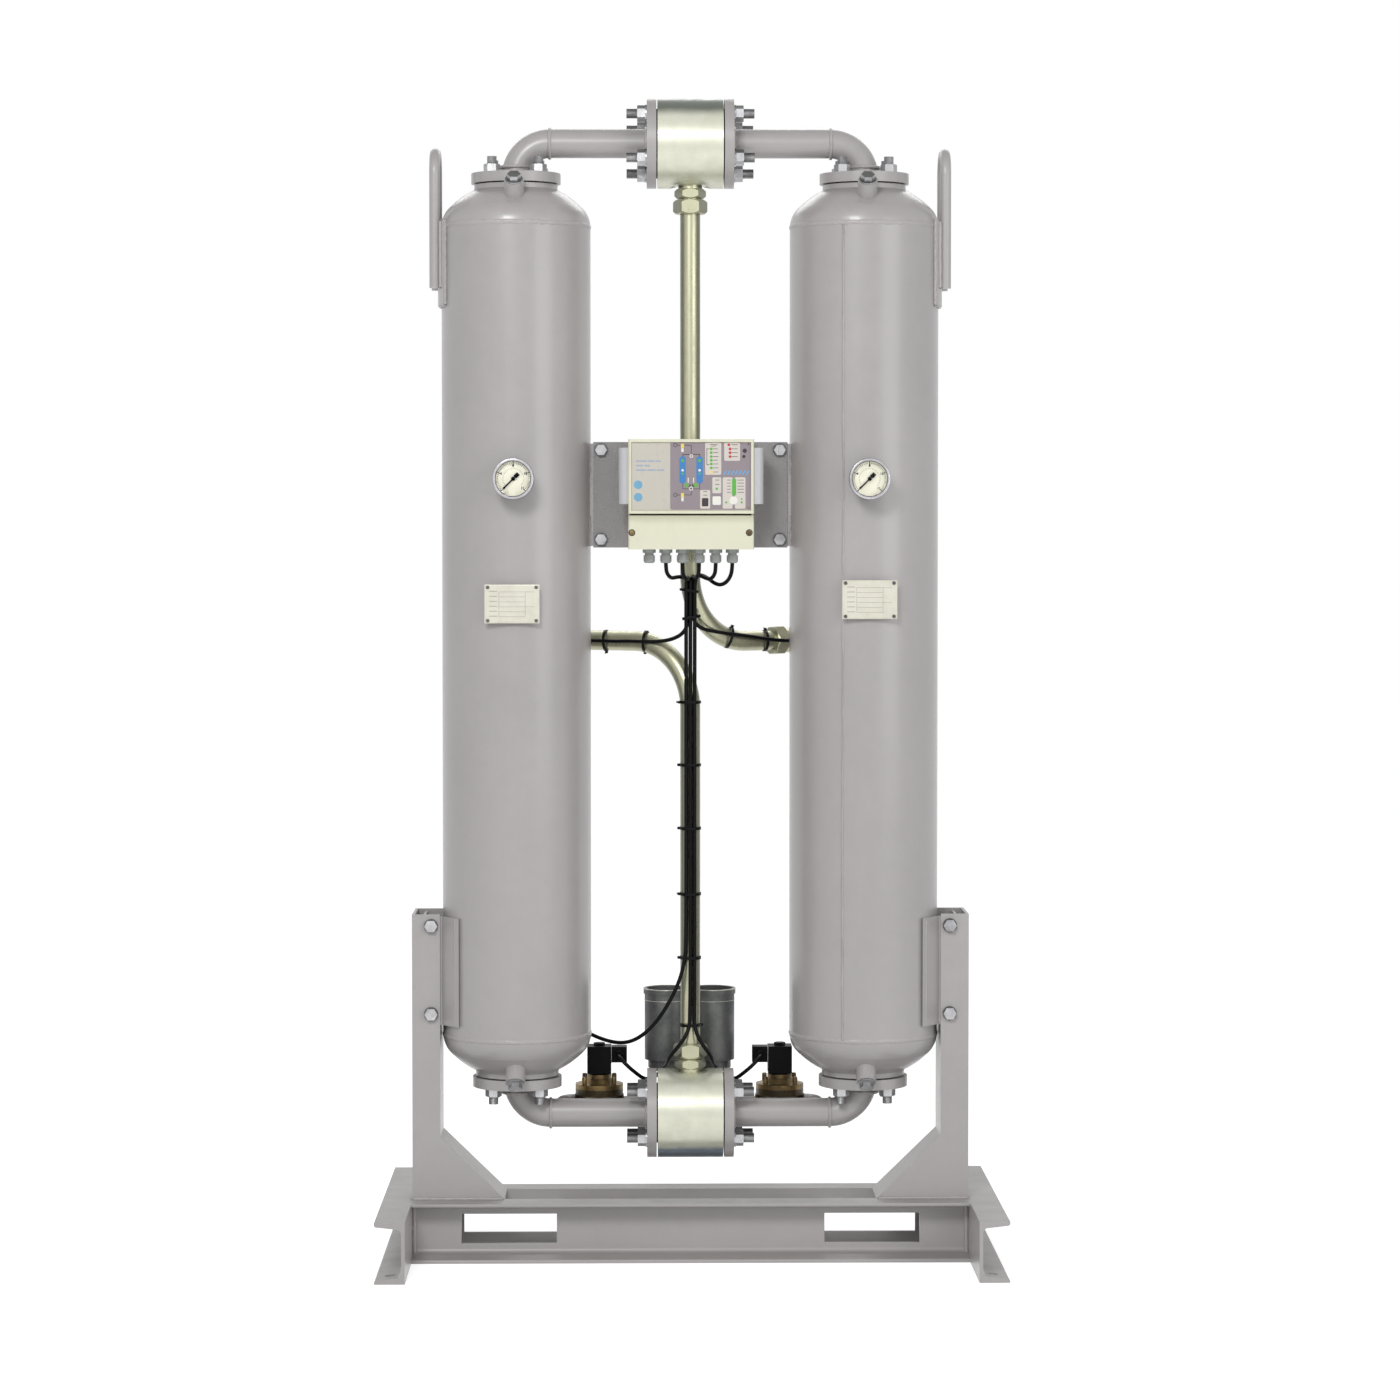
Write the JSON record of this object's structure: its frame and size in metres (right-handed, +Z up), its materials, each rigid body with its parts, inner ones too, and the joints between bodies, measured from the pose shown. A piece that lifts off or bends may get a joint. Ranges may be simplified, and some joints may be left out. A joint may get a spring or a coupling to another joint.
{
  "type": "desiccant air dryer",
  "caption": "Twin upright vessel desiccant air dryer with shuttle valve blocks, purge silencers, gauges and controller on a channel base.",
  "frame": {"origin": "centre of the base's footprint, on the floor", "axes": "+Z up, +X to the right seen from the controller's side, +Y to the back"},
  "size_m": [1.034, 0.55, 1.947],
  "materials": {
    "frame_paint": "warm light grey gloss paint",
    "bright_zinc": "bright zinc plate",
    "pale_zinc": "pale cream zinc plate",
    "olive_zinc": "olive cream zinc plate",
    "desiccant": "packed white beads",
    "gasket": "dark sheet gasket",
    "ball_plastic": "smooth",
    "hammer_paint": "mid grey hammered paint",
    "ivory_plastic": "fine moulded ivory",
    "panel_film": "printed membrane",
    "clip_plastic": "satin white grey",
    "gland_plastic": "satin grey green",
    "gauge_steel": "bright rolled steel",
    "dial_white": "matt white",
    "window": "clear",
    "pointer_black": "matt black",
    "brass": "aged bronze brass",
    "coil_black": "moulded black",
    "silencer_grey": "dark grey cast",
    "cable_black": "satin black jacket"
  },
  "bodies": {
    "dryer": {"side_channel_left": "frame_paint", "side_channel_right": "frame_paint", "front_beam": "frame_paint", "rear_beam": "frame_paint", "post_left": "frame_paint", "post_right": "frame_paint", "bracket_left": "frame_paint", "bracket_right": "frame_paint", "post_bolts": "bright_zinc", "vessel_left": "frame_paint", "vessel_right": "frame_paint", "panel_lugs": "frame_paint", "desiccant_beds": "desiccant", "flow_screens": "bright_zinc", "dome_plugs": "bright_zinc", "lifting_lug_left": "frame_paint", "lifting_lug_right": "frame_paint", "top_spool_left": "frame_paint", "top_spool_right": "frame_paint", "lower_spool_left": "frame_paint", "lower_spool_right": "frame_paint", "flange_gaskets": "gasket", "flange_studs": "bright_zinc", "flange_nuts": "bright_zinc", "upper_valve_block": "pale_zinc", "lower_valve_block": "pale_zinc", "tie_rods": "bright_zinc", "tie_rod_nuts": "bright_zinc", "shuttle_balls": "ball_plastic", "tube_adaptors": "olive_zinc", "union_nuts": "olive_zinc", "outlet_tube": "olive_zinc", "inlet_tube": "olive_zinc", "end_fittings": "olive_zinc", "panel_plate": "hammer_paint", "panel_bolts": "bright_zinc", "controller_housing": "ivory_plastic", "controller_lid": "ivory_plastic", "control_panel": "panel_film", "terminal_cover": "ivory_plastic", "side_clips": "clip_plastic", "cable_glands": "gland_plastic", "gauge_cases": "gauge_steel", "gauge_dials": "dial_white", "gauge_windows": "window", "purge_valve_bodies": "brass", "purge_valve_bonnets": "brass", "purge_valve_coils": "coil_black", "coil_plugs": "coil_black", "purge_pipes": "frame_paint", "silencer_bases": "silencer_grey", "silencer_cups": "silencer_grey", "cable_plugs": "coil_black", "cable_inlet_sensor": "cable_black", "cable_outlet_sensor": "cable_black", "cable_vessel_sensor": "cable_black", "cable_left_valve": "cable_black", "cable_right_valve": "cable_black"},
    "pointer_left": {"pointer_left": "pointer_black"},
    "pointer_right": {"pointer_right": "pointer_black"}
  },
  "joints": [
    {"name": "left_gauge_pointer", "type": "hinge", "parent": "dryer", "child": "pointer_left", "pos_m": [-0.2925, -0.168, 1.308], "axis": [0, 1, 0], "range_deg": [0, 270], "stiffness_Nm_per_rad": 0.001},
    {"name": "right_gauge_pointer", "type": "hinge", "parent": "dryer", "child": "pointer_right", "pos_m": [0.2925, -0.168, 1.308], "axis": [0, 1, 0], "range_deg": [0, 270], "stiffness_Nm_per_rad": 0.001}
  ]
}
